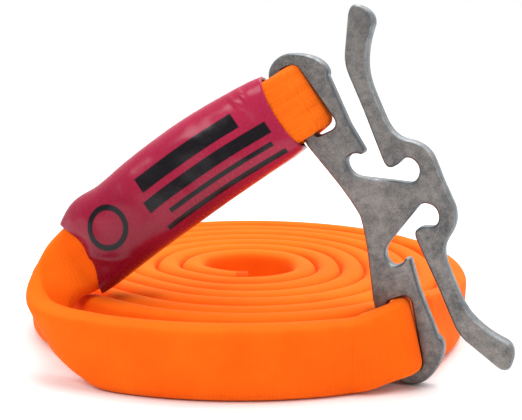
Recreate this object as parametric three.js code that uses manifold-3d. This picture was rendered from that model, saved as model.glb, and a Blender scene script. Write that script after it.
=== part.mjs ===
// A coiled elastic tourniquet: a flat rubber strap in a woven sheath, sewn round one bar of a
// metal cleat, threaded through the cleat's other slot and wound into a coil that lies on its edge.
// Millimetres, +Z up. The design frame has its origin under the coil's centre; the last lines move
// it under the middle of the whole object.
import * as THREE from "three";
import { mergeVertices } from "three/addons/utils/BufferGeometryUtils.js";
import Module from "manifold-3d";

const wasm = await Module();
wasm.setup();

const DEG = Math.PI / 180;
const GAP = 0.3; // air between solids that touch on the real object

const STRAP = { width: 12.7, thickness: 4.9, sheath: 0.8, coreGap: 0.3 };
const SQUEEZED = { width: 12.1, thickness: 2.7 }; // the strap where a slot pinches it
const CLEAT = { thickness: 2.8, yaw: 20 * DEG, tilt: 24.5 * DEG, bevel: 0.3 };
const CLEAT_PLACE = new THREE.Vector3(25.7, -42.0, 31.9); // middle of the cleat's front face
const SLOT = { centreX: -8.2, barX: -11.2, z: 21.4, barLean: 8.4 * DEG, lean: 10.4 * DEG };
const COIL = { holeRadius: 8.8, ringRadius: 38.2, turnRadius: 42.1, frontRadius: 49 };
const SLEEVE = { start: 1.6, wall: 0.6, endWidth: 14.6, midWidth: 16.2, depth: 11.2, layer: 4.2 };

// Colours, roughness and metalness.
const ORANGE = { color: 0xff6a14, roughness: 0.85, metalness: 0 };
const RUBBER = { color: 0x2a2826, roughness: 0.7, metalness: 0 };
const CRIMSON = { color: 0xb01c3c, roughness: 0.3, metalness: 0 };
const METAL = { color: 0x85827e, roughness: 0.55, metalness: 1 };
const THREAD = { color: 0xf05a10, roughness: 0.8, metalness: 0 };

const object = new THREE.Group();

function addMesh(name, geometry, look, parent = object) {
  const mesh = new THREE.Mesh(geometry, new THREE.MeshStandardMaterial(look));
  mesh.name = name;
  parent.add(mesh);
  return mesh;
}

// ---- solids and cuts ----

function toSolid(geometry) {
  const bare = new THREE.BufferGeometry().setAttribute("position", geometry.getAttribute("position"));
  if (geometry.index) bare.setIndex(geometry.index);
  const merged = mergeVertices(bare, 1e-4);
  return new wasm.Manifold(
    new wasm.Mesh({
      numProp: 3,
      vertProperties: new Float32Array(merged.attributes.position.array),
      triVerts: new Uint32Array(merged.index.array),
    }),
  );
}

function toGeometry(solid) {
  const mesh = solid.getMesh();
  const geometry = new THREE.BufferGeometry();
  geometry.setAttribute("position", new THREE.BufferAttribute(mesh.vertProperties, 3));
  geometry.setIndex(new THREE.BufferAttribute(mesh.triVerts, 1));
  geometry.computeVertexNormals();
  return geometry;
}

// ---- bands: a flat section carried along stations, each with a centre and a width direction ----

const station = (centre, across, width = STRAP.width, thickness = STRAP.thickness) => ({
  centre,
  across,
  width,
  thickness,
});

// A rectangle with cut corners, eight points, counter-clockwise.
function sectionPoints(width, thickness) {
  const a = width / 2;
  const b = thickness / 2;
  const cut = Math.min(b * 0.6, 1.4);
  const quarter = [
    [a, b - cut],
    [a - cut, b],
  ];
  const half = [...quarter, ...quarter.map(([x, y]) => [-x, y]).reverse()];
  return [...half, ...half.map(([x, y]) => [-x, -y])];
}

// The section's points in space at each station, smaller all round by inset.
function ringsAlong(stations, inset) {
  return stations.map((here, i) => {
    const before = stations[Math.max(i - 1, 0)].centre;
    const after = stations[Math.min(i + 1, stations.length - 1)].centre;
    const along = after.clone().sub(before).normalize();
    const across = here.across.clone().normalize();
    const out = along.clone().cross(across).normalize();
    return sectionPoints(here.width - 2 * inset, here.thickness - 2 * inset).map(([x, y]) =>
      here.centre.clone().addScaledVector(across, x).addScaledVector(out, y),
    );
  });
}

// A closed band. With wall it is a tube that is open at both ends, and inset shrinks it all round.
function bandGeometry(stations, { wall = 0, inset = 0 } = {}) {
  const skins = [ringsAlong(stations, inset)];
  if (wall > 0) skins.push(ringsAlong(stations, inset + wall));
  const sides = skins[0][0].length;
  const last = stations.length - 1;
  const points = skins.flat(2);
  const at = (skin, ring, k) => (skin * stations.length + ring) * sides + (k % sides);
  const index = [];
  const quad = (a, b, c, d) => index.push(a, b, c, a, c, d);
  skins.forEach((_, skin) => {
    for (let ring = 0; ring < last; ring++) {
      for (let k = 0; k < sides; k++) {
        const lower = [at(skin, ring, k), at(skin, ring, k + 1)];
        const upper = [at(skin, ring + 1, k + 1), at(skin, ring + 1, k)];
        if (skin === 0) quad(...lower, ...upper);
        else quad(...upper.reverse(), ...lower.reverse());
      }
    }
  });
  for (let k = 0; k < sides; k++) {
    if (wall > 0) {
      quad(at(0, 0, k), at(1, 0, k), at(1, 0, k + 1), at(0, 0, k + 1));
      quad(at(0, last, k), at(0, last, k + 1), at(1, last, k + 1), at(1, last, k));
    } else if (k > 0 && k < sides - 1) {
      index.push(at(0, 0, 0), at(0, 0, k + 1), at(0, 0, k));
      index.push(at(0, last, 0), at(0, last, k), at(0, last, k + 1));
    }
  }
  const geometry = new THREE.BufferGeometry().setFromPoints(points);
  geometry.setIndex(index);
  return geometry.toNonIndexed();
}

// The woven sheath and the rubber core inside it are two nodes with the same stations.
function addStrap(name, stations, { sheath, coreGap } = STRAP) {
  addMesh(`sheath_${name}`, bandGeometry(stations, { wall: sheath }), ORANGE);
  addMesh(`core_${name}`, bandGeometry(stations, { inset: sheath + coreGap }), RUBBER);
}

// Smooth stations through hand-chosen pairs: the strap's lower edge and its upper edge.
function stationsThrough(pairs, count) {
  const lower = new THREE.CatmullRomCurve3(pairs.map(([low]) => new THREE.Vector3(...low)));
  const upper = new THREE.CatmullRomCurve3(pairs.map(([, high]) => new THREE.Vector3(...high)));
  return Array.from({ length: count }, (_, i) => {
    const low = lower.getPoint(i / (count - 1));
    const high = upper.getPoint(i / (count - 1));
    return station(low.clone().lerp(high, 0.5), high.sub(low));
  });
}

// Stations round the coil's centre, the strap upright on its edge, with the radius a formula.
function stationsRound(fromDeg, toDeg, stepDeg, radiusAt) {
  const count = Math.round(Math.abs(toDeg - fromDeg) / stepDeg) + 1;
  return Array.from({ length: count }, (_, i) => {
    const share = i / (count - 1);
    const angle = (fromDeg + (toDeg - fromDeg) * share) * DEG;
    const radius = radiusAt(share);
    const centre = new THREE.Vector3(
      radius * Math.cos(angle),
      radius * Math.sin(angle),
      STRAP.width / 2,
    );
    return station(centre, new THREE.Vector3(0, 0, 1));
  });
}

// ---- the cleat: a stamped plate, the same above and below its middle ----

const cleatGroup = new THREE.Group();
cleatGroup.position.copy(CLEAT_PLACE);
cleatGroup.rotation.set(0, -CLEAT.tilt, -CLEAT.yaw, "ZYX");
cleatGroup.updateMatrixWorld(true);
object.add(cleatGroup);

// Cleat coordinates: x across the plate, y into it from the front face, z along it.
const cleatPoint = (x, y, z) => new THREE.Vector3(x, y, z).applyMatrix4(cleatGroup.matrixWorld);
const cleatDirection = (x, y, z) =>
  new THREE.Vector3(x, y, z).transformDirection(cleatGroup.matrixWorld);

// The upper half, from the left edge's middle, over the slotted arm, into the toothed notch
// and over the long arm to the right edge's middle.
function cleatHalf() {
  const half = new THREE.Path();
  half.moveTo(-7.6, 0);
  half.quadraticCurveTo(-8.0, 3.4, -9.4, 8.0);
  half.lineTo(-11.3, 14.2);
  half.lineTo(-13.1, 27.2);
  half.bezierCurveTo(-12.8, 29.4, -10.4, 30.4, -8.4, 30.0); // round end of the slotted arm
  half.bezierCurveTo(-6.6, 29.7, -2.9, 27.3, -3.0, 24.8);
  half.quadraticCurveTo(-3.0, 24.2, -3.4, 23.7);
  half.lineTo(-3.2, 15.0);
  half.lineTo(-2.55, 10.4);
  half.quadraticCurveTo(-2.4, 9.4, -3.3, 9.5); // hooked tip of the slotted arm
  half.quadraticCurveTo(-4.0, 10.1, -4.7, 10.1);
  half.bezierCurveTo(-5.9, 10.2, -6.4, 9.3, -6.3, 8.2); // left lobe of the notch
  half.bezierCurveTo(-6.2, 7.1, -5.6, 6.4, -4.7, 5.9);
  half.lineTo(2.3, 2.1);
  half.bezierCurveTo(3.3, 1.5, 4.9, 2.6, 4.9, 4.0); // right lobe of the notch
  half.bezierCurveTo(4.9, 5.6, 3.7, 6.5, 2.6, 5.95);
  half.bezierCurveTo(1.9, 5.6, 1.1, 5.4, 0.6, 5.55); // hook on the long arm
  half.bezierCurveTo(-0.1, 5.7, -0.25, 6.6, -0.2, 7.6);
  half.lineTo(0.05, 16.0);
  half.lineTo(0.05, 22.6);
  half.quadraticCurveTo(0.1, 24.4, 0.9, 26.0);
  half.lineTo(3.8, 31.3);
  half.bezierCurveTo(4.6, 32.7, 5.6, 32.8, 6.4, 31.9); // turned-out tip of the long arm
  half.bezierCurveTo(7.4, 30.9, 7.9, 29.4, 7.1, 28.2);
  half.bezierCurveTo(4.7, 25.6, 2.8, 22.6, 2.8, 18.5);
  half.lineTo(2.8, 14.2);
  half.bezierCurveTo(2.8, 11.2, 3.4, 9.8, 5.0, 8.7);
  half.bezierCurveTo(6.8, 7.6, 7.8, 5.8, 7.75, 3.8);
  half.lineTo(7.65, 0);
  return half.getPoints(9);
}

// The slot, counter-clockwise: straight sides, one along the bar, and small round corners.
function slotPoints() {
  const slot = new THREE.Path();
  slot.moveTo(-9.35, 16.0);
  slot.lineTo(-10.95, 26.7);
  slot.bezierCurveTo(-11.0, 27.8, -10.2, 27.9, -9.4, 27.9);
  slot.bezierCurveTo(-7.8, 27.9, -7.5, 27.0, -7.3, 26.0);
  slot.lineTo(-5.2, 16.8);
  slot.bezierCurveTo(-5.0, 15.8, -5.7, 15.2, -6.6, 15.2);
  slot.lineTo(-8.4, 15.2);
  slot.quadraticCurveTo(-9.2, 15.2, -9.35, 16.0);
  return slot.getPoints(7).slice(1).reverse();
}

const mirrored = (points) => points.map((p) => new THREE.Vector2(p.x, -p.y)).reverse();

function cleatGeometry() {
  const upper = cleatHalf();
  const outline = new THREE.Shape([...upper, ...mirrored(upper).slice(1, -1)]);
  const slot = slotPoints();
  outline.holes = [new THREE.Path(slot), new THREE.Path(mirrored(slot))];
  const geometry = new THREE.ExtrudeGeometry(outline, {
    depth: CLEAT.thickness - 2 * CLEAT.bevel,
    bevelEnabled: true,
    bevelThickness: CLEAT.bevel,
    bevelSize: CLEAT.bevel,
    bevelOffset: -CLEAT.bevel,
    bevelSegments: 1,
  });
  geometry.rotateX(Math.PI / 2);
  geometry.translate(0, CLEAT.thickness - CLEAT.bevel, 0);
  return geometry;
}

addMesh("cleat", cleatGeometry(), METAL, cleatGroup);

// ---- the sewn eye: down the label, round the bar in the upper slot, and back under the label ----

const barCentre = cleatPoint(SLOT.barX, CLEAT.thickness / 2, SLOT.z);
const barAxis = cleatDirection(-Math.sin(SLOT.barLean), 0, Math.cos(SLOT.barLean));
const labelEnd = new THREE.Vector3(-29.5, -30.1, 19.1); // middle of the sleeve's lower mouth
const labelEndAcross = new THREE.Vector3(-6.6, 1.8, 10.6);
const towardsBar = barCentre.clone().sub(labelEnd).normalize();
const labelLength = barCentre.distanceTo(labelEnd);
const LABEL_BOW = 1.5; // how far the run's middle bows up from a straight line
const EYE = { start: 3, radius: 2.9, width: 11.7, thickness: 2, mouthFromBar: 3.4, tailEnd: 9 };

// A point of the label run, which bows a little upwards: along it from the lower mouth, and
// towards the back of it.
function labelStation(distance, offset, width, thickness) {
  const share = distance / labelLength;
  const across = labelEndAcross.clone().normalize().lerp(barAxis, share).normalize();
  const back = towardsBar.clone().cross(across).normalize();
  const bow = LABEL_BOW * Math.sin(Math.PI * Math.min(1, share));
  const centre = labelEnd.clone().addScaledVector(towardsBar, distance);
  centre.addScaledVector(across, bow).addScaledVector(back, -offset);
  return station(centre, across, width, thickness);
}

// The two layers under the sleeve lie this far either side of its middle.
const LAYER_OFFSET = SLEEVE.layer / 2 + GAP / 2;

function foldStations() {
  const leg = (side) => (d) => labelStation(d, side * LAYER_OFFSET, STRAP.width, SLEEVE.layer);
  const frontLeg = [EYE.start, 12, 24, labelLength - 9].map(leg(-1));
  const turn = [];
  const step = 20;
  for (let angle = 90; angle >= -90; angle -= step) {
    const out = EYE.radius * Math.sin(angle * DEG);
    const along = labelLength + EYE.radius * Math.cos(angle * DEG);
    turn.push(labelStation(along, -out, EYE.width, EYE.thickness));
  }
  const backLeg = [labelLength - 9, 24, EYE.tailEnd].map(leg(1));
  return [...frontLeg, ...turn, ...backLeg];
}

// Stretched thin round the bar, the sheath is thinner as well.
addStrap("fold", foldStations(), { sheath: 0.45, coreGap: 0.2 });

// Three bar tacks hold the two layers together under the sleeve: a bead of thread on each face.
const TACK = { places: [16, 23, 30], across: 9.6, length: 0.9, height: 0.25 };
for (const [face, side] of [
  ["front", -1],
  ["back", 1],
]) {
  const offset = side * (LAYER_OFFSET + SLEEVE.layer / 2 + TACK.height / 2 + 0.1);
  TACK.places.forEach((place, i) => {
    const ends = [place, place + TACK.length];
    const bead = bandGeometry(ends.map((d) => labelStation(d, offset, TACK.across, TACK.height)));
    addMesh(`tack_${face}_${i + 1}`, bead, THREAD);
  });
}

// ---- the label sleeve, shrunk over both layers ----

function sleeveStations() {
  const length = labelLength - EYE.mouthFromBar - SLEEVE.start;
  const count = 9;
  return Array.from({ length: count }, (_, i) => {
    const share = i / (count - 1);
    const bulge = Math.sin(share * Math.PI);
    const width = SLEEVE.endWidth + (SLEEVE.midWidth - SLEEVE.endWidth) * bulge;
    return labelStation(SLEEVE.start + share * length, 0, width, SLEEVE.depth);
  });
}

addMesh("label_sleeve", bandGeometry(sleeveStations(), { wall: SLEEVE.wall }), CRIMSON);

// ---- the free strap: left loop, front run, through the lower slot, outer turn and coil ----

// Lower and upper edge, from the sleeve's mouth round the left and down onto its edge. The strap
// folds tightly there, so it is one solid, thinner in the bend.
const LOOP_EDGES = [
  [[-26.5, -31.2, 14.0], [-33.1, -29.4, 24.4]],
  [[-29.8, -33.2, 12.6], [-35.1, -29.9, 22.3]],
  [[-31.6, -34.7, 8.9], [-36.7, -31.3, 19.8]],
  [[-32.2, -36.0, 7.0], [-37.6, -33.2, 17.4]],
  [[-31.9, -37.6, 5.8], [-37.4, -35.6, 15.4]],
  [[-30.7, -39.4, 4.5], [-35.7, -38.1, 14.0]],
  [[-28.2, -41.4, 2.3], [-31.4, -41.0, 13.2]],
  [[-25.0, -43.3, 0.5], [-25.2, -43.6, 12.8]],
];
const LOOP = { samples: 22, bendThickness: 4.2 };

function loopStations() {
  const stations = stationsThrough(LOOP_EDGES, LOOP.samples);
  stations.forEach((here, i) => {
    const bend = Math.sin((i / (LOOP.samples - 1)) * Math.PI);
    here.thickness += (LOOP.bendThickness - STRAP.thickness) * bend;
    here.width = here.across.length();
  });
  return stations;
}
addMesh("strap_loop", bandGeometry(loopStations()), ORANGE);

const FRONT = { from: -119.4, to: -76, bulge: 0.9 };
const frontRadius = (share) =>
  COIL.frontRadius + FRONT.bulge * (1 - Math.sin(share * 90 * DEG));
addStrap("front", stationsRound(FRONT.from, FRONT.to, 5, frontRadius));

// The lead into the lower slot and the exit behind it, in cleat coordinates where they bend.
const slotAcross = cleatDirection(Math.sin(SLOT.lean), 0, Math.cos(SLOT.lean));
const upright = new THREE.Vector3(0, 0, 1);
const slotStation = (x, y, width, thickness) =>
  station(cleatPoint(x, y, -SLOT.z), slotAcross, width, thickness);

function leadStations() {
  const start = stationsRound(FRONT.to + 0.4, FRONT.to + 7, 3, () => COIL.frontRadius);
  return [
    ...start,
    station(new THREE.Vector3(19.6, -46.0, 6.9), upright.clone().lerp(slotAcross, 0.4)),
    station(new THREE.Vector3(22.6, -45.0, 7.7), upright.clone().lerp(slotAcross, 0.7), 12.6, 4.2),
    slotStation(SLOT.centreX - 0.3, -2.4, 12.3, 3.2),
    slotStation(SLOT.centreX, -1.2, SQUEEZED.width, SQUEEZED.thickness),
    slotStation(SLOT.centreX, -GAP, SQUEEZED.width, SQUEEZED.thickness),
  ];
}
addStrap("slot_lead", leadStations());

addMesh(
  "strap_slot_pass",
  bandGeometry(
    [GAP, CLEAT.thickness - GAP].map((y) =>
      slotStation(SLOT.centreX, y, SQUEEZED.width, SQUEEZED.thickness),
    ),
  ),
  ORANGE,
);

const TURN = { from: -32, to: 236, wideningY: 2, wideningAtSlot: 1.9 };
const PRESS = { share: 0.045, angle: 228, spread: 22 }; // where the loop presses the outer turn in
const FLATTER = 0.035; // the share by which the turn is flatter at its right
// Nearly round: wider at its front and back and where it leaves the slot, and pressed in by the loop.
const turnRadius = (share) => {
  const angle = TURN.from + (TURN.to - TURN.from) * share;
  const sides = TURN.wideningY * Math.sin(angle * DEG) ** 2;
  const round = COIL.turnRadius + sides + TURN.wideningAtSlot * Math.max(0, 1 - share) ** 6;
  const pressed = PRESS.share * Math.exp(-(((angle - PRESS.angle) / PRESS.spread) ** 2));
  const flatter = FLATTER * Math.max(0, Math.cos(angle * DEG)) ** 4;
  return round * (1 - flatter - pressed);
};

function exitStations() {
  const behind = CLEAT.thickness + GAP;
  const before = { from: -3.6, to: -0.6 }; // degrees short of the outer turn
  const shareOfTurn = (degrees) => degrees / (TURN.to - TURN.from);
  const end = stationsRound(TURN.from + before.from, TURN.from + before.to, 3, (share) =>
    turnRadius(shareOfTurn(before.from + (before.to - before.from) * share)),
  );
  return [
    slotStation(SLOT.centreX, behind, SQUEEZED.width, SQUEEZED.thickness),
    slotStation(SLOT.centreX, behind + 0.9, SQUEEZED.width, SQUEEZED.thickness),
    slotStation(SLOT.centreX + 0.3, behind + 2.1, 12.3, 3.2),
    station(new THREE.Vector3(31.5, -34.4, 7.9), upright.clone().lerp(slotAcross, 0.5), 12.6, 4.2),
    ...end,
  ];
}
addStrap("slot_exit", exitStations());

addStrap("outer_turn", stationsRound(TURN.from, TURN.to, 8, turnRadius));

// The inner turns lie against each other, so they are one ring.
const FREE_END = { angle: 275 * DEG, length: 3, width: 12.3, thickness: 4.4 };

function coilGeometry() {
  const { holeRadius: inner, ringRadius: outer } = COIL;
  const top = STRAP.width;
  const edge = 1.2;
  const profile = [
    [inner, edge],
    [inner + edge, 0],
    [outer - edge, 0],
    [outer, edge],
    [outer, top - edge],
    [outer - edge, top],
    [inner + edge, top],
    [inner, top - edge],
    [inner, edge],
  ].map(([x, y]) => new THREE.Vector2(x, y));
  const geometry = new THREE.LatheGeometry(profile, 48);
  geometry.rotateX(Math.PI / 2);
  return geometry;
}

// A pocket in the ring for the strap's free end, whose sheath is sealed over the core.
function freeEndBox(margin) {
  const box = new THREE.BoxGeometry(
    FREE_END.thickness + 2 * margin,
    FREE_END.length + 2 * margin,
    FREE_END.width + 4 * margin,
  );
  box.translate(COIL.holeRadius + FREE_END.thickness / 2 + 0.4, 0, STRAP.width / 2 + 0.1);
  box.rotateZ(FREE_END.angle);
  return box;
}

const pocket = toSolid(freeEndBox(GAP)).add(
  toSolid(freeEndBox(GAP).translate(-2 * Math.cos(FREE_END.angle), -2 * Math.sin(FREE_END.angle), 0)),
);
addMesh("strap_coil", toGeometry(toSolid(coilGeometry()).subtract(pocket)), ORANGE);
addMesh("free_end_seal", freeEndBox(0), THREAD);

// ---- the row's frame: the origin under the middle of the whole object ----

const bounds = new THREE.Box3().setFromObject(object, true);
const middle = bounds.getCenter(new THREE.Vector3());
object.position.set(-middle.x, -middle.y, -bounds.min.z);

export default object;
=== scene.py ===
"""A coiled elastic tourniquet on a pale studio floor: the visual model over the CAD frame.

Routes are in millimetres from the coil's centre on the floor, the part's own design frame.
row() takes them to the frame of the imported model, in metres."""

import math

import bmesh
import bpy
from mathutils import Euler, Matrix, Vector, noise


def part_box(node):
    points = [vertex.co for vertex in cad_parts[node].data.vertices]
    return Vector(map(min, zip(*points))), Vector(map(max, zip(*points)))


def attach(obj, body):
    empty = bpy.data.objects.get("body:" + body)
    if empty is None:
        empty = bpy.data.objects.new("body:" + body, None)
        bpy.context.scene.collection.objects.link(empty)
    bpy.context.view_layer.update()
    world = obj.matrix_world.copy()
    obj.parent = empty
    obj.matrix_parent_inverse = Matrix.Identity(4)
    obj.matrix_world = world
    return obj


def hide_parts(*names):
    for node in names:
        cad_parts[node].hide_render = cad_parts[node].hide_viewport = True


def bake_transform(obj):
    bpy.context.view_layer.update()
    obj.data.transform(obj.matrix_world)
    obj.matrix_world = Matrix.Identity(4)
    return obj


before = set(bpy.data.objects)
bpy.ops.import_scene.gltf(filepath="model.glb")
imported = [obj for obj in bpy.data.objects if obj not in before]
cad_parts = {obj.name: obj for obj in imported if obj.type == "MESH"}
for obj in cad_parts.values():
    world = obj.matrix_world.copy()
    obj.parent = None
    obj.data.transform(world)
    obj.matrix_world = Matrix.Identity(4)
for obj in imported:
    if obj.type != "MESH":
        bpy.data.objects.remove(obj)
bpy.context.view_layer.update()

MM = 0.001

STRAP_WIDTH = 12.7
STRAP_THICKNESS = 4.9
SQUEEZED = (12.1, 2.7)  # width and thickness where a slot pinches the strap

CLEAT_PLACE = Vector((25.7, -42.0, 31.9))  # middle of the cleat's front face
CLEAT_THICKNESS = 2.8
CLEAT_YAW = Euler((0, 0, math.radians(-20))).to_matrix()
CLEAT_TILT = Euler((0, math.radians(-24.5), 0)).to_matrix()
CLEAT_TURN = CLEAT_YAW @ CLEAT_TILT
SLOT_X = -8.2
SLOT_Z = 21.4
SLOT_LEAN = math.radians(10.4)
BAR_X = -11.2
BAR_LEAN = math.radians(8.4)

LABEL_END = Vector((-29.5, -30.1, 19.1))  # middle of the sleeve's lower mouth
LABEL_END_ACROSS = Vector((-6.6, 1.8, 10.6))
LABEL_BOW = 1.5  # how far the middle of the label's run bows up from a straight line
LAYER = 3.7  # one layer of strap under the sleeve
LAYER_WIDTH = 12.2
LAYER_OFFSET = 2.25  # from the sleeve's middle to the middle of each layer
EYE_RADIUS = 3.25  # of the strap's middle, round the bar
EYE_SIZE = (11.9, 3.0)  # the strap's width and thickness round the bar

coil_low, coil_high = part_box("strap_coil")
COIL_CENTRE = Vector(((coil_low.x + coil_high.x) / 2, (coil_low.y + coil_high.y) / 2, 0))


def row(point):
    """A design point in millimetres as a point of the row frame in metres."""
    return COIL_CENTRE + Vector(point) * MM


# ---- camera ----

PICTURE_WIDTH = 522  # of the photograph, in pixels
FOCAL_LENGTH = 1000  # in the same pixels
SENSOR_WIDTH = 36
CAMERA_PLACE = (2.6, -205.5, 57.6)
CAMERA_DOWN = 9.51  # degrees below level


def make_camera():
    """The photograph's angle: level across, looking along +Y and a little down."""
    data = bpy.data.cameras.new("camera")
    data.sensor_width = SENSOR_WIDTH
    data.lens = FOCAL_LENGTH * SENSOR_WIDTH / PICTURE_WIDTH
    data.clip_start = 0.01
    camera = bpy.data.objects.new("camera", data)
    camera.location = row(CAMERA_PLACE)
    camera.rotation_euler = (math.radians(90 - CAMERA_DOWN), 0, 0)
    bpy.context.scene.collection.objects.link(camera)
    bpy.context.scene.camera = camera


# ---- stations: centre, across, width and thickness of a flat band ----


def station(centre, across, width=STRAP_WIDTH, thickness=STRAP_THICKNESS):
    return (Vector(centre), Vector(across).normalized(), width, thickness)


def hermite(before, start, end, after, share):
    """A Catmull-Rom curve from start to end. The values are vectors or numbers."""
    squared = share * share
    cubed = squared * share
    return (
        start * 2
        + (end - before) * share
        + (before * 2 - start * 5 + end * 4 - after) * squared
        + (start * 3 - before - end * 3 + after) * cubed
    ) * 0.5


def smoothed(stations, spacing):
    """More stations on a smooth curve through these, about spacing apart."""
    result = []
    last = len(stations) - 1
    for i in range(last):
        around = [stations[min(max(i + k, 0), last)] for k in (-1, 0, 1, 2)]
        steps = max(1, round((around[2][0] - around[1][0]).length / spacing))
        for k in range(steps):
            values = [hermite(*(s[part] for s in around), k / steps) for part in range(4)]
            result.append((values[0], values[1].normalized(), values[2], values[3]))
    return result + [stations[last]]


def cleat_point(x, y, z):
    """Cleat coordinates: x across the plate, y into it from its front face, z along it."""
    return CLEAT_PLACE + CLEAT_TURN @ Vector((x, y, z))


SLOT_ACROSS = CLEAT_TURN @ Vector((math.sin(SLOT_LEAN), 0, math.cos(SLOT_LEAN)))
BAR_AXIS = CLEAT_TURN @ Vector((-math.sin(BAR_LEAN), 0, math.cos(BAR_LEAN)))
BAR_CENTRE = cleat_point(BAR_X, CLEAT_THICKNESS / 2, SLOT_Z)
LABEL_LENGTH = (BAR_CENTRE - LABEL_END).length
TOWARDS_BAR = (BAR_CENTRE - LABEL_END).normalized()
UP = Vector((0, 0, 1))


def slot_station(x, y, width=SQUEEZED[0], thickness=SQUEEZED[1]):
    return station(cleat_point(x, y, -SLOT_Z), SLOT_ACROSS, width, thickness)


def label_axes(distance):
    across = LABEL_END_ACROSS.normalized().lerp(BAR_AXIS, distance / LABEL_LENGTH).normalized()
    back = TOWARDS_BAR.cross(across).normalized()
    return across, back


def label_point(distance):
    """The label run's middle line: from the lower mouth to the bar, bowed a little upwards."""
    share = max(0, min(1, distance / LABEL_LENGTH))
    across, back = label_axes(distance)
    return LABEL_END + TOWARDS_BAR * distance + across * LABEL_BOW * math.sin(math.pi * share)


def label_station(distance, offset, width, thickness):
    """A place on the label run: along it from the lower mouth, and offset towards its back."""
    across, back = label_axes(distance)
    return station(label_point(distance) - back * offset, across, width, thickness)


def round_stations(start, end, step, radius_at, across=UP):
    count = round(abs(end - start) / step) + 1
    result = []
    for i in range(count):
        share = i / (count - 1)
        angle = math.radians(start + (end - start) * share)
        radius = radius_at(share)
        centre = (radius * math.cos(angle), radius * math.sin(angle), STRAP_WIDTH / 2)
        result.append(station(centre, across))
    return result


# ---- routes ----


# The lower and upper edge of the strap, from the sleeve's mouth round the left to the front.
LOOP_EDGES = [
    ((-26.5, -31.2, 14.0), (-33.1, -29.4, 24.4)),
    ((-29.8, -33.2, 12.6), (-35.1, -29.9, 22.3)),
    ((-31.6, -34.7, 8.9), (-36.7, -31.3, 19.8)),
    ((-32.2, -36.0, 7.0), (-37.6, -33.2, 17.4)),
    ((-31.9, -37.6, 5.8), (-37.4, -35.6, 15.4)),
    ((-30.7, -39.4, 4.5), (-35.7, -38.1, 14.0)),
    ((-28.2, -41.4, 2.3), (-31.4, -41.0, 13.2)),
    ((-25.0, -43.3, 0.5), (-25.2, -43.6, 12.8)),
]
LOOP_SQUEEZE = 1.1  # how much thinner the strap is in the middle of the loop
FRONT_RADIUS = 49
FRONT_BULGE = 0.9
FRONT_FROM, FRONT_TO = -116, -76  # degrees round the coil


def front_radius(share):
    """The front stretch comes in to the coil a little on its way to the right."""
    return FRONT_RADIUS + FRONT_BULGE * (1 - math.sin(share * math.pi / 2))


def run_route():
    """From inside the sleeve's lower mouth round the left, along the front and into the lower slot."""
    inside = [label_station(d, 0, STRAP_WIDTH, STRAP_THICKNESS) for d in (7, 3.5)]
    loop = []
    for i, (low, high) in enumerate(LOOP_EDGES):
        low, high = Vector(low), Vector(high)
        bend = math.sin(math.pi * i / (len(LOOP_EDGES) - 1))
        thickness = STRAP_THICKNESS - LOOP_SQUEEZE * bend
        loop.append(station((low + high) / 2, high - low, (high - low).length, thickness))
    front = round_stations(FRONT_FROM, FRONT_TO, 5, front_radius)
    to_slot = [
        *round_stations(FRONT_TO + 3, FRONT_TO + 7, 4, lambda share: FRONT_RADIUS),
        station((19.6, -46.0, 6.9), UP.lerp(SLOT_ACROSS, 0.4)),
        station((22.6, -45.0, 7.7), UP.lerp(SLOT_ACROSS, 0.7), 12.6, 4.2),
        slot_station(SLOT_X - 0.3, -2.4, 12.6, 4.3),
        slot_station(SLOT_X, -1.0, 12.5, 3.9),
        slot_station(SLOT_X, 0.4, 12.4, 3.3),
        slot_station(SLOT_X, CLEAT_THICKNESS - 0.2),
    ]
    return smoothed(inside + loop + front + to_slot, 0.9)


# The coil. Its angles are in degrees round its centre, and grow inwards.
TURN_START, TURN_END = -32, 236  # the outer turn, from the slot to the loop
TURN_RADIUS = 42.1
WIDENING_Y = 2.0  # at the outer turn's front and back
WIDENING_AT_SLOT = 1.9
PRESS, PRESS_ANGLE, PRESS_SPREAD = 0.045, 228, 22  # where the loop presses the coil in
FLATTER = 0.035  # the share by which the coil is flatter at its right
TURNS = 6  # inside the outer turn
PITCH = 5.3
STEP_ANGLE = 280  # where each turn starts its step inwards
STEP_LENGTH = 0.24  # of a turn
FREE_END = 275  # where the innermost turn ends
INNER_WIDENING = 0.048  # the share by which the next turns are wider at front and back
HOLE_SHIFT = (-0.5, -3.0)  # of the innermost turn, to the left and the front
LIFT = 0.25  # mean height of the turns' edges over the floor
LEAN = 0.08  # the slope with which the turns lean out at the right


def outer_radius(angle):
    """The outer turn: nearly round, wider at its front and back, and wider where it leaves the slot."""
    share = (angle - TURN_START) / (TURN_END - TURN_START)
    round_radius = TURN_RADIUS + WIDENING_Y * math.sin(math.radians(angle)) ** 2
    return round_radius + WIDENING_AT_SLOT * max(0, 1 - share) ** 6


def pressed(angle):
    """The share of its radius that a turn keeps: flatter at the right, and pressed in by the loop."""
    flatter = FLATTER * max(0, math.cos(math.radians(angle))) ** 4
    return 1 - flatter - PRESS * math.exp(-(((angle % 360 - PRESS_ANGLE) / PRESS_SPREAD) ** 2))


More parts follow.
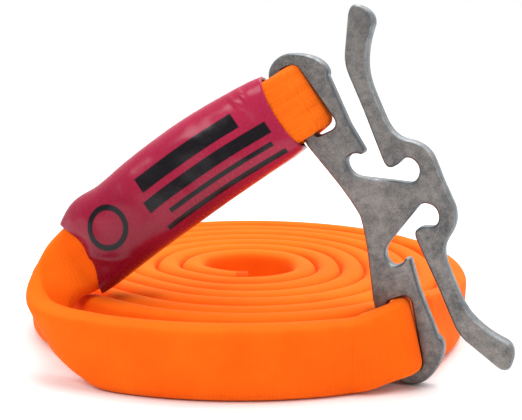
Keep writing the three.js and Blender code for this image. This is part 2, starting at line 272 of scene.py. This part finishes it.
def coil_station(angle):
    """A place on the coil, whose turns step inwards at the front right."""
    turns = (angle - STEP_ANGLE) / 360
    whole = math.floor(turns)
    step = min(1, (turns - whole) / STEP_LENGTH)
    eased = step * step * (3 - 2 * step)
    spread = max(0, min(1, whole / TURNS)) * 0.5  # the inner turns step in more evenly
    inwards = max(0, whole + eased * (1 - spread) + (turns - whole) * spread)
    depth = min(1, inwards / TURNS)
    turn = math.radians(angle)
    radius = TURN_RADIUS - PITCH * inwards
    if angle < STEP_ANGLE:
        radius = outer_radius(angle)
    else:
        radius *= 1 + INNER_WIDENING * (1 - depth) * math.sin(turn) ** 2
    radius *= pressed(angle)
    wander = noise.noise(Vector((angle / 70, 3.1, 0.4)))
    lift = LIFT + LIFT * noise.noise(Vector((angle / 95, 7.7, 1.3)))
    centre = (
        HOLE_SHIFT[0] * depth + radius * math.cos(turn),
        HOLE_SHIFT[1] * depth + radius * math.sin(turn),
        STRAP_WIDTH / 2 + lift,
    )
    outwards = Vector((math.cos(turn), math.sin(turn), 0))
    lean = 0.03 * wander + LEAN * max(0, math.cos(turn)) ** 4
    return station(centre, UP + outwards * lean)


def coil_route():
    """Out of the slot's back, and the turns inwards to the free end."""
    out = [
        slot_station(SLOT_X, 1.4),
        slot_station(SLOT_X, CLEAT_THICKNESS + 0.6),
        slot_station(SLOT_X, CLEAT_THICKNESS + 1.3),
        slot_station(SLOT_X + 0.3, CLEAT_THICKNESS + 2.4, 12.3, 3.2),
        station((31.5, -34.4, 7.9), UP.lerp(SLOT_ACROSS, 0.5), 12.6, 4.2),
    ]
    last = FREE_END + 360 * TURNS
    turns = [coil_station(angle) for angle in range(TURN_START - 3, last, 4)]
    return smoothed(out, 0.8)[:-1], smoothed([out[-1], *turns], 1.1)


def fold_route():
    """The sewn eye: down the sleeve, round the bar in the upper slot and back under the sleeve."""
    leg_end = LABEL_LENGTH - 9
    front = [label_station(d, -LAYER_OFFSET, LAYER_WIDTH, LAYER) for d in (6, 14, 24, leg_end)]
    turn = []
    for angle in range(90, -91, -20):
        out = EYE_RADIUS * math.sin(math.radians(angle))
        along = LABEL_LENGTH + EYE_RADIUS * math.cos(math.radians(angle))
        turn.append(label_station(along, -out, *EYE_SIZE))
    back = [label_station(d, LAYER_OFFSET, LAYER_WIDTH, LAYER) for d in (leg_end, 24, 9)]
    return smoothed(front + turn + back, 0.7)


# ---- meshes ----

CORNER_SHARE = 0.42  # a band's corner radius over its thickness
CROWN = 0.05  # how much thicker a band is in its middle


def band_section(width, thickness):
    """A rounded rectangle with slightly crowned faces: its points, and each one's distance round it."""
    a, b = width / 2, thickness / 2
    corner = min(thickness * CORNER_SHARE, b * 0.98)
    corner_steps, face_steps, edge_steps = 5, 8, 2
    points = []

    def arc(cx, cy, first):
        for k in range(corner_steps + 1):
            turn = math.radians(first + 90 * k / corner_steps)
            points.append((cx + corner * math.cos(turn), cy + corner * math.sin(turn)))

    def flat(start, end, steps):
        for k in range(1, steps):
            points.append(tuple(s + (e - s) * k / steps for s, e in zip(start, end)))

    arc(a - corner, b - corner, 0)
    flat((a - corner, b), (corner - a, b), face_steps)
    arc(corner - a, b - corner, 90)
    flat((-a, b - corner), (-a, corner - b), edge_steps)
    arc(corner - a, corner - b, 180)
    flat((corner - a, -b), (a - corner, -b), face_steps)
    arc(a - corner, corner - b, 270)
    flat((a, corner - b), (a, b - corner), edge_steps)
    crowned = [(x, y * (1 + CROWN * math.cos(x / a * math.pi / 2))) for x, y in points]
    around = [0.0]
    for here, after in zip(crowned, crowned[1:] + crowned[:1]):
        around.append(around[-1] + math.dist(here, after))
    return crowned, around


def new_object(name, mesh, material):
    obj = bpy.data.objects.new(name, mesh)
    bpy.context.scene.collection.objects.link(obj)
    mesh.materials.append(material)
    return obj


def skin(name, rings, lengths, around, material, closed=True, widths=None):
    """A mesh over rings of points, with UVs in millimetres: along it, and round it.

    widths gives each ring point's place across the band, for a second UV map named edge."""
    sides = len(rings[0])
    mesh = bpy.data.meshes.new(name)
    vertices = [row(p) for ring in rings for p in ring]
    faces = []
    uvs = []
    for i in range(len(rings) - 1):
        for k in range(sides):
            nxt = (k + 1) % sides
            faces.append((i * sides + k, i * sides + nxt, (i + 1) * sides + nxt, (i + 1) * sides + k))
            uvs += [
                (lengths[i], around[i][k]),
                (lengths[i], around[i][k + 1]),
                (lengths[i + 1], around[i + 1][k + 1]),
                (lengths[i + 1], around[i + 1][k]),
            ]
    if closed:  # the ends have corners of their own, so that their shading stays apart from the sides
        first = len(vertices)
        vertices += vertices[:sides] + vertices[first - sides : first]
        faces.append(tuple(first + k for k in reversed(range(sides))))
        faces.append(tuple(first + sides + k for k in range(sides)))
        uvs += [(lengths[0], around[0][k]) for k in reversed(range(sides))]
        uvs += [(lengths[-1], around[-1][k]) for k in range(sides)]
    mesh.from_pydata(vertices, [], faces)
    layer = mesh.uv_layers.new(name="weave")
    for loop, uv in zip(layer.data, uvs):
        loop.uv = uv
    if widths:
        edge = mesh.uv_layers.new(name="edge")
        for loop, corner in zip(edge.data, mesh.loops):
            loop.uv = (widths[corner.vertex_index % sides], 0)
    mesh.polygons.foreach_set("use_smooth", [True] * len(mesh.polygons))
    mesh.update()
    return new_object(name, mesh, material)


def sweep(name, stations, material, first_length=0.0):
    """A closed band with the stations' sections. Its knit starts at first_length, in millimetres."""
    rings, arounds, lengths = [], [], []
    length = first_length
    for i, (centre, across, width, thickness) in enumerate(stations):
        along = stations[min(i + 1, len(stations) - 1)][0] - stations[max(i - 1, 0)][0]
        out = along.cross(across).normalized()
        if i:
            length += (centre - stations[i - 1][0]).length
        points, around = band_section(width, thickness)
        rings.append([centre + across * x + out * y for x, y in points])
        arounds.append(around)
        lengths.append(length)
    widths = [x for x, _ in band_section(STRAP_WIDTH, STRAP_THICKNESS)[0]]
    return skin(name, rings, lengths, arounds, material, widths=widths)


# ---- materials ----


class Nodes:
    """A material's node tree, with short calls for the nodes used here."""

    def __init__(self, name):
        self.material = bpy.data.materials.new(name)
        self.material.use_nodes = True
        self.tree = self.material.node_tree
        self.shader = self.tree.nodes["Principled BSDF"]

    def add(self, kind, inputs=None, **settings):
        node = self.tree.nodes.new(kind)
        for key, value in settings.items():
            setattr(node, key, value)
        for key, value in (inputs or {}).items():
            if isinstance(value, bpy.types.NodeSocket):
                self.tree.links.new(value, node.inputs[key])
            else:
                node.inputs[key].default_value = value
        return node

    def math(self, operation, a, b=0.0, c=0.0, clamp=False):
        inputs = {0: a, 1: b, 2: c}
        return self.add("ShaderNodeMath", inputs, operation=operation, use_clamp=clamp).outputs[0]

    def uv(self, name):
        return self.add("ShaderNodeUVMap", uv_map=name).outputs[0]

    def place(self):
        return self.add("ShaderNodeTexCoord").outputs["Object"]

    def noise(self, vector, scale, detail=3.0, roughness=0.55):
        inputs = {"Vector": vector, "Scale": scale, "Detail": detail, "Roughness": roughness}
        return self.add("ShaderNodeTexNoise", inputs).outputs["Fac"]

    def ramp(self, factor, stops):
        """Colours at positions, as a colour ramp."""
        node = self.add("ShaderNodeValToRGB", {"Fac": factor})
        ramp = node.color_ramp
        while len(ramp.elements) < len(stops):
            ramp.elements.new(0.5)
        for element, (position, colour) in zip(ramp.elements, stops):
            element.position = position
            element.color = (*colour, 1)
        return node.outputs[0]

    def remap(self, value, low, high, to_low, to_high, smooth=False):
        inputs = {"Value": value, "From Min": low, "From Max": high, "To Min": to_low, "To Max": to_high}
        kind = "SMOOTHSTEP" if smooth else "LINEAR"
        return self.add("ShaderNodeMapRange", inputs, interpolation_type=kind).outputs[0]

    def mix(self, factor, a, b, blend="MIX"):
        node = self.add("ShaderNodeMix", data_type="RGBA", blend_type=blend)
        for socket, value in zip([node.inputs[0], node.inputs[6], node.inputs[7]], [factor, a, b]):
            if isinstance(value, bpy.types.NodeSocket):
                self.tree.links.new(value, socket)
            else:
                socket.default_value = value if isinstance(value, float) else (*value, 1)
        return node.outputs[2]

    def bump(self, height, strength, distance):
        inputs = {"Height": height, "Strength": strength, "Distance": distance}
        self.link(self.add("ShaderNodeBump", inputs).outputs[0], "Normal")

    def link(self, output, name):
        self.tree.links.new(output, self.shader.inputs[name])

    def set(self, **values):
        for name, value in values.items():
            self.shader.inputs[name.replace("_", " ")].default_value = value


COLUMN_PITCH = 0.78  # of the knit's columns, in millimetres


def sheath_material(name, relief=0.3, contrast=0.55, paleness=0.0, pitch=0.62, folds=0.0):
    """A fine orange knit over rubber: columns of stitches along the strap and courses across it.

    pitch is the courses' distance in millimetres, and folds the depth of lengthwise wrinkles."""
    n = Nodes(name)
    split = n.add("ShaderNodeSeparateXYZ", {0: n.uv("weave")})
    wobble = n.noise(n.place(), 260.0, 2.0)
    along = n.math("ADD", split.outputs[0], n.math("MULTIPLY", wobble, 0.35))
    across = split.outputs[1]
    course = n.math("SINE", n.math("MULTIPLY", along, 2 * math.pi / pitch))
    column = n.math("SINE", n.math("MULTIPLY", across, 2 * math.pi / COLUMN_PITCH))
    stitches = n.math("MULTIPLY", course, column)
    knit = n.math("MULTIPLY_ADD", stitches, 0.16, n.math("MULTIPLY", course, 0.3))
    lint = n.noise(n.place(), 1900.0, 3.0, 0.7)
    height = n.math("ADD", lint, knit)
    patches = n.noise(n.place(), 90.0, 4.0)
    base = n.ramp(patches, [(0.3, (0.90, 0.104, 0.0012)), (0.7, (0.94, 0.142, 0.003))])
    # Painted shade: the knit darkens where its relief dips and turns a little whiter on its raises, over
    # the fine lint's random tone.
    shade = n.remap(height, -0.4, 1.1, 0.0, 1.0)
    painted_knit_shade = n.ramp(shade, [(0.0, (0.86, 0.8, 0.75)), (0.6, (1.0, 1.0, 1.0)), (1.0, (1.0, 1.06, 1.3))])
    knit_and_painted_shade = n.mix(contrast, base, n.mix(1.0, base, painted_knit_shade, "MULTIPLY"))
    # Painted highlight: the colour turns a paler orange along both rounded edges of the band, in patches.
    place = n.add("ShaderNodeSeparateXYZ", {0: n.uv("edge")}).outputs[0]
    print_wear_and_rim_highlight = n.math("ADD", n.math("ABSOLUTE", place), n.math("MULTIPLY", patches, 0.8))
    rim_highlight_mask = n.remap(print_wear_and_rim_highlight, 5.6, 6.3, 0.0, 0.6, True)
    # The pale orange is the painted rim highlight; paleness also lays it over the whole band, as on the
    # eye.
    n.link(n.mix(n.math("MAXIMUM", rim_highlight_mask, paleness), knit_and_painted_shade, (0.97, 0.165, 0.007)), "Base Color")
    n.link(n.remap(lint, 0.3, 0.7, 0.72, 0.92), "Roughness")
    lengthwise = n.add(
        "ShaderNodeCombineXYZ",
        {0: n.math("MULTIPLY", split.outputs[0], 0.1), 1: n.math("MULTIPLY", across, 0.4)},
    ).outputs[0]
    n.bump(n.math("MULTIPLY_ADD", n.noise(lengthwise, 1.0, 0.0), folds, height), relief, 0.00012)
    n.set(Sheen_Weight=0.06, Sheen_Roughness=0.4, Sheen_Tint=(1.0, 0.45, 0.15, 1), Specular_IOR_Level=0.1)
    return n.material


def seal_material():
    """The free end, where the sheath is melted into a skin."""
    n = Nodes("melted_end")
    lumps = n.noise(n.place(), 900.0, 4.0)
    n.link(n.ramp(lumps, [(0.3, (0.80, 0.075, 0.001)), (0.75, (0.92, 0.105, 0.002))]), "Base Color")
    n.link(n.remap(lumps, 0.3, 0.7, 0.6, 0.85), "Roughness")
    n.bump(lumps, 0.3, 0.0002)
    n.set(Specular_IOR_Level=0.05)
    return n.material


def thread_material():
    """Twisted polyester thread."""
    n = Nodes("tack_thread")
    split = n.add("ShaderNodeSeparateXYZ", {0: n.uv("weave")})
    along = n.math("MULTIPLY", split.outputs[0], 14.0)
    around = n.math("MULTIPLY", split.outputs[1], 3.0)
    ply = n.math("SINE", n.math("ADD", along, around))
    # Painted shade: the thread is darker in the twist's grooves and lighter on its plies, following the
    # bump's wave.
    painted_ply_shade = [(0.0, (0.62, 0.07, 0.005)), (1.0, (0.95, 0.16, 0.01))]
    n.link(n.ramp(n.remap(ply, -1, 1, 0, 1), painted_ply_shade), "Base Color")
    n.bump(ply, 0.5, 0.0001)
    n.set(Roughness=0.7)
    return n.material


# Plain bars in place of the printed lines: distance along, half length, place across, half height.
PRINT_BARS = [
    (28.0, 10.0, 2.6, 1.4),
    (29.5, 12.5, -1.2, 1.1),
    (30.6, 10.5, -4.0, 0.42),
    (30.1, 12.2, -6.1, 0.42),
]
PRINT_RING = (9.2, 0.6, 3.4, 0.5)  # place along, place across, radius, half line width


def sleeve_material():
    """Heat-shrunk crimson vinyl with plain black printed bars."""
    n = Nodes("crimson_vinyl")
    split = n.add("ShaderNodeSeparateXYZ", {0: n.uv("print")})
    along, across = split.outputs[0], split.outputs[1]
    marks = 0.0
    for place, half, height, half_height in PRINT_BARS:
        x = n.math("ABSOLUTE", n.math("SUBTRACT", along, place))
        y = n.math("ABSOLUTE", n.math("SUBTRACT", across, height))
        wide = n.remap(x, half - 0.12, half + 0.12, 1, 0, True)
        tall = n.remap(y, half_height - 0.1, half_height + 0.1, 1, 0, True)
        marks = n.math("MAXIMUM", n.math("MULTIPLY", wide, tall), marks)
    x0, y0, radius, half_line = PRINT_RING
    dx = n.math("SUBTRACT", along, x0)
    dy = n.math("SUBTRACT", across, y0)
    distance = n.math("SQRT", n.math("ADD", n.math("MULTIPLY", dx, dx), n.math("MULTIPLY", dy, dy)))
    ring = n.math("ABSOLUTE", n.math("SUBTRACT", distance, radius))
    marks = n.math("MAXIMUM", n.remap(ring, half_line - 0.1, half_line + 0.1, 1, 0, True), marks)
    print_wear_and_rim_highlight = n.noise(n.place(), 2600.0, 3.0, 0.7)
    marks = n.math("MULTIPLY", marks, n.remap(print_wear_and_rim_highlight, 0.3, 0.4, 0.85, 1.0))
    clouds = n.noise(n.place(), 85.0, 4.0)
    # Painted light and shade: the vinyl is lighter towards the sleeve's upper side and its upper end, and
    # darker towards its lower side and lower mouth, over the clouds of its own uneven tone.
    painted_light_gradient = n.math("MULTIPLY_ADD", across, 0.03, n.math("MULTIPLY", along, 0.012))
    stretched_and_painted_light = n.math("ADD", n.math("MULTIPLY", clouds, 0.5), painted_light_gradient)
    vinyl = n.ramp(stretched_and_painted_light, [(0.15, (0.175, 0.0015, 0.014)), (0.85, (0.40, 0.016, 0.058))])
    n.link(n.mix(marks, vinyl, (0.006, 0.005, 0.007)), "Base Color")
    grain = n.noise(n.place(), 1500.0, 3.0, 0.6)
    n.link(n.remap(grain, 0.3, 0.7, 0.22, 0.3), "Roughness")
    creases = n.noise(n.place(), 170.0, 2.0)
    n.bump(n.math("MULTIPLY_ADD", grain, 0.03, creases), 0.1, 0.0002)
    n.set(Specular_IOR_Level=0.25)
    return n.material


def metal_material(name, dark, light, rough):
    """Tumbled steel: mottled grey with fine pits."""
    n = Nodes(name)
    mottle = n.noise(n.place(), 650.0, 4.0, 0.6)
    broad = n.noise(n.place(), 110.0, 3.0)
    grain = n.noise(n.place(), 3200.0, 3.0, 0.75)
    tone = n.math("MULTIPLY_ADD", grain, 0.55, n.math("MULTIPLY", mottle, 0.45))
    patchy = n.math("MULTIPLY_ADD", broad, 0.35, n.math("MULTIPLY", tone, 0.75))
    cool = (dark[0] * 0.97, dark[1] * 1.01, dark[2] * 1.05)
    warm = (light[0] * 1.05, light[1], light[2] * 0.97)
    n.link(n.ramp(patchy, [(0.42, cool), (0.66, warm)]), "Base Color")
    n.link(n.remap(mottle, 0.3, 0.7, rough + 0.1, rough - 0.05), "Roughness")
    n.bump(n.math("MULTIPLY_ADD", grain, 0.7, mottle), 0.3, 0.0001)
    n.set(Metallic=1.0)
    return n.material


# ---- pieces ----


# The sleeve. A share runs along it from 0 at its lower mouth to 1 at its upper mouth.
SLEEVE_START, SLEEVE_END = 1.1, LABEL_LENGTH - 2.6  # along the label's run
SLEEVE_WALL = 0.45
MOUTH_WIDTH, MOUTH_THICKNESS = 14.5, 10.3
BULGE_WIDTH, BULGE_THICKNESS = 1.9, 1.3  # what its middle adds to them
MOUTH_SHARE = 0.14  # how far the mouths' shapes reach
FLARE = 1.3  # of the lower mouth's upper corner
FOLDS = ((0.855, 0.1), (0.9, 0.07))  # each fold's share at the upper edge, and its slant
FOLD_SHARE = 0.014  # the width of a fold


def sleeve_sides(share, turn):
    """Where a point is across and through the section, -1 to 1: squarer near the upper mouth."""
    boxy = 0.7 - 0.2 * max(0, 1 - (1 - share) / 0.3)
    c, s = math.cos(turn), math.sin(turn)
    return math.copysign(abs(c) ** boxy, c), math.copysign(abs(s) ** boxy, s)


def sleeve_halves(share, side_x, inset):
    """Half the section's width and thickness: more in the middle, less where the mouths turn in."""
    bulge = math.sin(share * math.pi) ** 0.8
    low_mouth = max(0, 1 - share / MOUTH_SHARE) ** 2
    any_mouth = max(0, 1 - min(share, 1 - share) / 0.05)
    half_width = (MOUTH_WIDTH + BULGE_WIDTH * bulge) / 2 - inset - 0.15 * any_mouth
    half_thickness = (MOUTH_THICKNESS + BULGE_THICKNESS * bulge) / 2 - inset - 0.1 * any_mouth
    if side_x > 0:  # flared at the lower mouth's upper corner, where the strap curls out
        half_width += FLARE * math.exp(-(((share - 0.09) / 0.09) ** 2))
    return half_width, half_thickness * (1 - 0.36 * low_mouth)


def mouth_shift(share, side_x):
    """How far a point moves along the sleeve, so that each mouth reaches out at its two edges."""
    reach, drawn_in = (2.5, 1.7) if share < 0.5 else (1.1, 0.4)
    tail = reach * abs(side_x) ** 2.2 - drawn_in
    near = max(0, 1 - min(share, 1 - share) / MOUTH_SHARE) ** 1.5
    return math.copysign(1, share - 0.5) * tail * near


def sleeve_creases(share, side_x):
    """Puckers and a slanting crease at the lower mouth, and two folds in from the upper edge."""
    puckers = 0.16 * math.sin(side_x * 9 + 2) * max(0, 1 - share / 0.22)
    crease = 0.9 * math.exp(-(((side_x + 0.1 + 3.2 * share) / 0.1) ** 2)) * max(0, 1 - share / 0.2)
    weight = max(0, min(1, side_x + 0.2))
    for place, slant in FOLDS:
        line = place + slant * (1 - side_x)
        crease += 0.4 * weight * math.exp(-(((share - line) / FOLD_SHARE) ** 2))
    return puckers + crease


def sleeve_point(share, turn, inset):
    """A point of the sleeve's skin: share along it, turn round its section, inset into its wall."""
    side_x, side_y = sleeve_sides(share, turn)
    half_width, half_thickness = sleeve_halves(share, side_x, inset)
    along = SLEEVE_START + (SLEEVE_END - SLEEVE_START) * share + mouth_shift(share, side_x)
    across, back = label_axes(along)
    spot = Vector((along * 0.16, side_x * 1.5, 3 + side_y * 0.6))
    dent = 0.4 * noise.noise(spot) + 0.12 * noise.noise(spot * 2.7)
    x = half_width * side_x * (1 + 0.02 * dent)
    y = half_thickness * side_y + (dent + sleeve_creases(share, side_x)) * side_y
    return label_point(along) + across * x - back * y


def make_sleeve(material):
    """A shrunk tube over both layers, bulged in its middle, creased and turned in at its mouths."""
    rows_along, sides = 150, 88
    shares = [i / rows_along for i in range(rows_along + 1)]
    turns = [2 * math.pi * k / sides for k in range(sides)]
    outer = [[sleeve_point(share, turn, 0) for turn in turns] for share in shares]
    inner = [[sleeve_point(share, turn, SLEEVE_WALL) for turn in turns] for share in shares]
    rings = outer + inner[::-1]
    count = len(rings)
    around = [list(range(sides + 1))] * count
    obj = skin("sleeve", rings, list(range(count)), around, material, closed=False)
    close_rim(obj, count, sides)
    map_print(obj)
    return obj


def close_rim(obj, count, sides):
    """Joins the last ring to the first, and makes the tube's skin face outwards."""
    mesh = bmesh.new()
    mesh.from_mesh(obj.data)
    mesh.verts.ensure_lookup_table()
    last = (count - 1) * sides
    for k in range(sides):
        nxt = (k + 1) % sides
        face = mesh.faces.new([mesh.verts[i] for i in (last + k, last + nxt, nxt, k)])
        face.smooth = True
    bmesh.ops.recalc_face_normals(mesh, faces=mesh.faces)
    mesh.to_mesh(obj.data)
    mesh.free()


OFF_THE_PRINT = -50  # a place along the label with no print


def map_print(obj):
    """A second UV map in millimetres: along the label run, and across it, on the front only."""
    layer = obj.data.uv_layers.new(name="print")
    vertices = obj.data.vertices
    for polygon in obj.data.polygons:
        for index in polygon.loop_indices:
            point = (vertices[obj.data.loops[index].vertex_index].co - COIL_CENTRE) / MM
            distance = (point - LABEL_END).dot(TOWARDS_BAR)
            across, back = label_axes(distance)
            away = point - label_point(distance)
            printed = away.dot(back) > 0
            layer.data[index].uv = (distance if printed else OFF_THE_PRINT, away.dot(across))


EDGE_ROUNDING = 0.1


def make_cleat(face_material, edge_material):
    """The CAD plate with its edges rounded over, and the edges in a lighter metal than the faces."""
    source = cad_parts["cleat"]
    mesh = source.data.copy()
    mesh.name = "cleat_plate"
    mesh.materials.clear()
    work = bmesh.new()
    work.from_mesh(mesh)
    bmesh.ops.remove_doubles(work, verts=work.verts, dist=1e-6)
    bmesh.ops.dissolve_limit(work, angle_limit=math.radians(1), verts=work.verts, edges=work.edges)
    normal = (CLEAT_TURN @ Vector((0, 1, 0))).normalized()
    sharp = [e for e in work.edges if len(e.link_faces) == 2 and e.calc_face_angle() > math.radians(30)]
    offset = EDGE_ROUNDING * MM
    bmesh.ops.bevel(work, geom=sharp, offset=offset, segments=2, affect="EDGES", clamp_overlap=True)
    for face in work.faces:
        face.material_index = 0 if abs(face.normal.dot(normal)) > 0.97 else 1
        face.smooth = face.material_index == 1
    work.to_mesh(mesh)
    work.free()
    obj = new_object("cleat_plate", mesh, face_material)
    mesh.materials.append(edge_material)
    return obj


TACK_PLACES = (16, 23, 30)  # along the label's run
TACK_WIDTH = 9.2
STITCHES = 18
STITCH_LENGTH = 0.9
THREAD = (0.32, 0.3)  # its width and thickness


def tack_route(place, offset):
    """A zigzag across the strap, at a distance through the layers from the sleeve's middle."""
    across, back = label_axes(place)
    zigzag = []
    for k in range(STITCHES + 1):
        x = TACK_WIDTH / 2 - TACK_WIDTH * k / STITCHES
        distance = place + (STITCH_LENGTH if k % 2 else 0)
        point = label_point(distance) + across * x - back * offset
        zigzag.append(station(point, back, *THREAD))
    return smoothed(zigzag, 0.3)


def make_tacks(material):
    """Zigzag bar tacks on both faces of the sewn layers, under the sleeve."""
    offset = LAYER_OFFSET + LAYER / 2 + 0.15
    made = []
    for face, side in (("front", -1), ("back", 1)):
        for i, place in enumerate(TACK_PLACES):
            thread = sweep(f"tack_thread_{face}_{i + 1}", tack_route(place, side * offset), material)
            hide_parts(f"tack_{face}_{i + 1}")
            made.append(thread)
    return made


def own(obj, body, slot_name, *nodes):
    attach(obj, body)
    finish_piece(obj, slot_name, *nodes)


def finish_piece(obj, slot_name, *nodes):
    if nodes:
        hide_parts(*nodes)


def line_of(stations):
    return [row(s[0]) for s in stations]


def length_of(stations):
    points = line_of(stations)
    return sum((b - a).length for a, b in zip(points, points[1:]))


def make_eye():
    """The sewn fold round the bar, whose knit is stretched and wrinkled."""
    stretched_and_painted_light = sheath_material("stretched_knit", 1.0, 0.9, 0.7, pitch=0.42, folds=18.0)
    eye = sweep("strap_eye", fold_route(), stretched_and_painted_light)
    own(eye, "root", "strap_sheath", "sheath_fold", "core_fold")


def make_run(run_stations, sheath):
    """The loop, the front and the stretch into the slot, which follows the cleat."""
    run = sweep("strap_run", run_stations, sheath)
    finish_piece(
        run, "strap_sheath", "strap_loop", "sheath_front", "core_front",
        "sheath_slot_lead", "core_slot_lead", "strap_slot_pass",
    )
    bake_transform(run)
    return run


def make_out(out_stations, coil_stations, sheath):
    """The stretch out of the slot's back. Its last rings lie tucked inside the coil's first ones."""
    tucked = [(c, a, w - 0.12, t - 0.12) for c, a, w, t in coil_stations[1:3]]
    out = sweep("strap_out", out_stations + coil_stations[:1] + tucked, sheath)
    finish_piece(out, "strap_sheath", "sheath_slot_exit", "core_slot_exit")
    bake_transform(out)


def make_coil(coil_stations, first_length, sheath):
    """The turns, and the seal round their free end."""
    coil = sweep("strap_turns", coil_stations, sheath, first_length)
    own(coil, "root", "strap_sheath", "strap_coil", "sheath_outer_turn", "core_outer_turn")
    seal_stations = [(c, a, w + 0.1, t + 0.1) for c, a, w, t in coil_stations[-4:]]
    seal = sweep("strap_end_seal", seal_stations, seal_material())
    own(seal, "root", "strap_sheath", "free_end_seal")
    return coil, seal


def make_strap():
    """The strap in four stretches: the eye, the run to the slot, the way out of it, and the coil."""
    sheath = sheath_material("orange_knit")
    make_eye()
    run_stations = run_route()
    run = make_run(run_stations, sheath)
    out_stations, coil_stations = coil_route()
    make_out(out_stations, coil_stations, sheath)
    out_length = length_of(out_stations + coil_stations[:1]) / MM
    coil, seal = make_coil(coil_stations, out_length, sheath)
    for name, route in (("eye", fold_route()), ("run", run_stations), ("turns", coil_stations)):
        print("length of the strap's", name, round(length_of(route) / MM, 1), "mm")


# ---- studio ----


def make_floor():
    bpy.ops.mesh.primitive_plane_add(size=6, location=(0, 0, 0))
    floor = bpy.context.object
    floor.name = "floor"
    n = Nodes("pale_floor")
    speckle = n.noise(n.place(), 40.0, 3.0)
    n.link(n.ramp(speckle, [(0.3, (0.95, 0.95, 0.95)), (0.7, (0.965, 0.965, 0.965))]), "Base Color")
    n.set(Roughness=0.6, Specular_IOR_Level=0.2)
    floor.data.materials.append(n.material)


def make_light(name, place, size, power, target=(0, 0, 0.02)):
    data = bpy.data.lights.new(name, "AREA")
    data.shape = "RECTANGLE"
    data.size, data.size_y = size
    data.energy = power
    light = bpy.data.objects.new(name, data)
    light.location = place
    light.rotation_euler = (Vector(target) - Vector(place)).to_track_quat("-Z", "Y").to_euler()
    bpy.context.scene.collection.objects.link(light)


def make_studio():
    scene = bpy.context.scene
    scene.view_settings.view_transform = "Standard"
    make_world()
    make_sun((0.3, 0.45, 1.0), 1.7)
    make_light("overhead", (0.1, 0.1, 0.7), (0.6, 0.5), 2.5)
    make_light("front_left", (-0.45, -0.55, 0.75), (0.45, 0.45), 4.5)
    make_light("right", (0.65, -0.3, 0.4), (0.25, 0.45), 1.2)


def make_world():
    """White behind and above, greyer in front, where a studio's own dark side would be."""
    world = bpy.data.worlds.new("studio")
    bpy.context.scene.world = world
    world.use_nodes = True
    nodes, links = world.node_tree.nodes, world.node_tree.links
    split = nodes.new("ShaderNodeSeparateXYZ")
    links.new(nodes.new("ShaderNodeTexCoord").outputs["Generated"], split.inputs[0])
    depth = nodes.new("ShaderNodeMapRange")
    depth.interpolation_type = "SMOOTHSTEP"
    links.new(split.outputs[1], depth.inputs["Value"])
    for name, value in (("From Min", -0.5), ("From Max", 0.4), ("To Min", 0.3), ("To Max", 0.9)):
        depth.inputs[name].default_value = value
    seen = nodes.new("ShaderNodeMath")
    seen.operation = "MAXIMUM"
    links.new(nodes.new("ShaderNodeLightPath").outputs["Is Camera Ray"], seen.inputs[0])
    links.new(depth.outputs[0], seen.inputs[1])
    background = nodes["Background"]
    links.new(seen.outputs[0], background.inputs["Strength"])
    background.inputs["Color"].default_value = (1, 1, 1, 1)


def make_sun(towards, power):
    """A very soft light from one side, the same all over the floor."""
    data = bpy.data.lights.new("sky", "SUN")
    data.energy = power
    data.angle = math.radians(70)
    sun = bpy.data.objects.new("sky", data)
    sun.rotation_euler = Vector(towards).to_track_quat("Z", "Y").to_euler()
    bpy.context.scene.collection.objects.link(sun)


def main():
    make_camera()
    make_strap()
    own(make_sleeve(sleeve_material()), "root", "sleeve_vinyl", "label_sleeve")
    faces = metal_material("tumbled_face", (0.106, 0.106, 0.104), (0.262, 0.254, 0.246), 0.5)
    edges = metal_material("tumbled_edge", (0.13, 0.142, 0.15), (0.27, 0.288, 0.3), 0.45)
    own(make_cleat(faces, edges), "cleat", "cleat_metal", "cleat")
    for thread in make_tacks(thread_material()):
        own(thread, "root", "thread")
    make_floor()
    make_studio()


main()
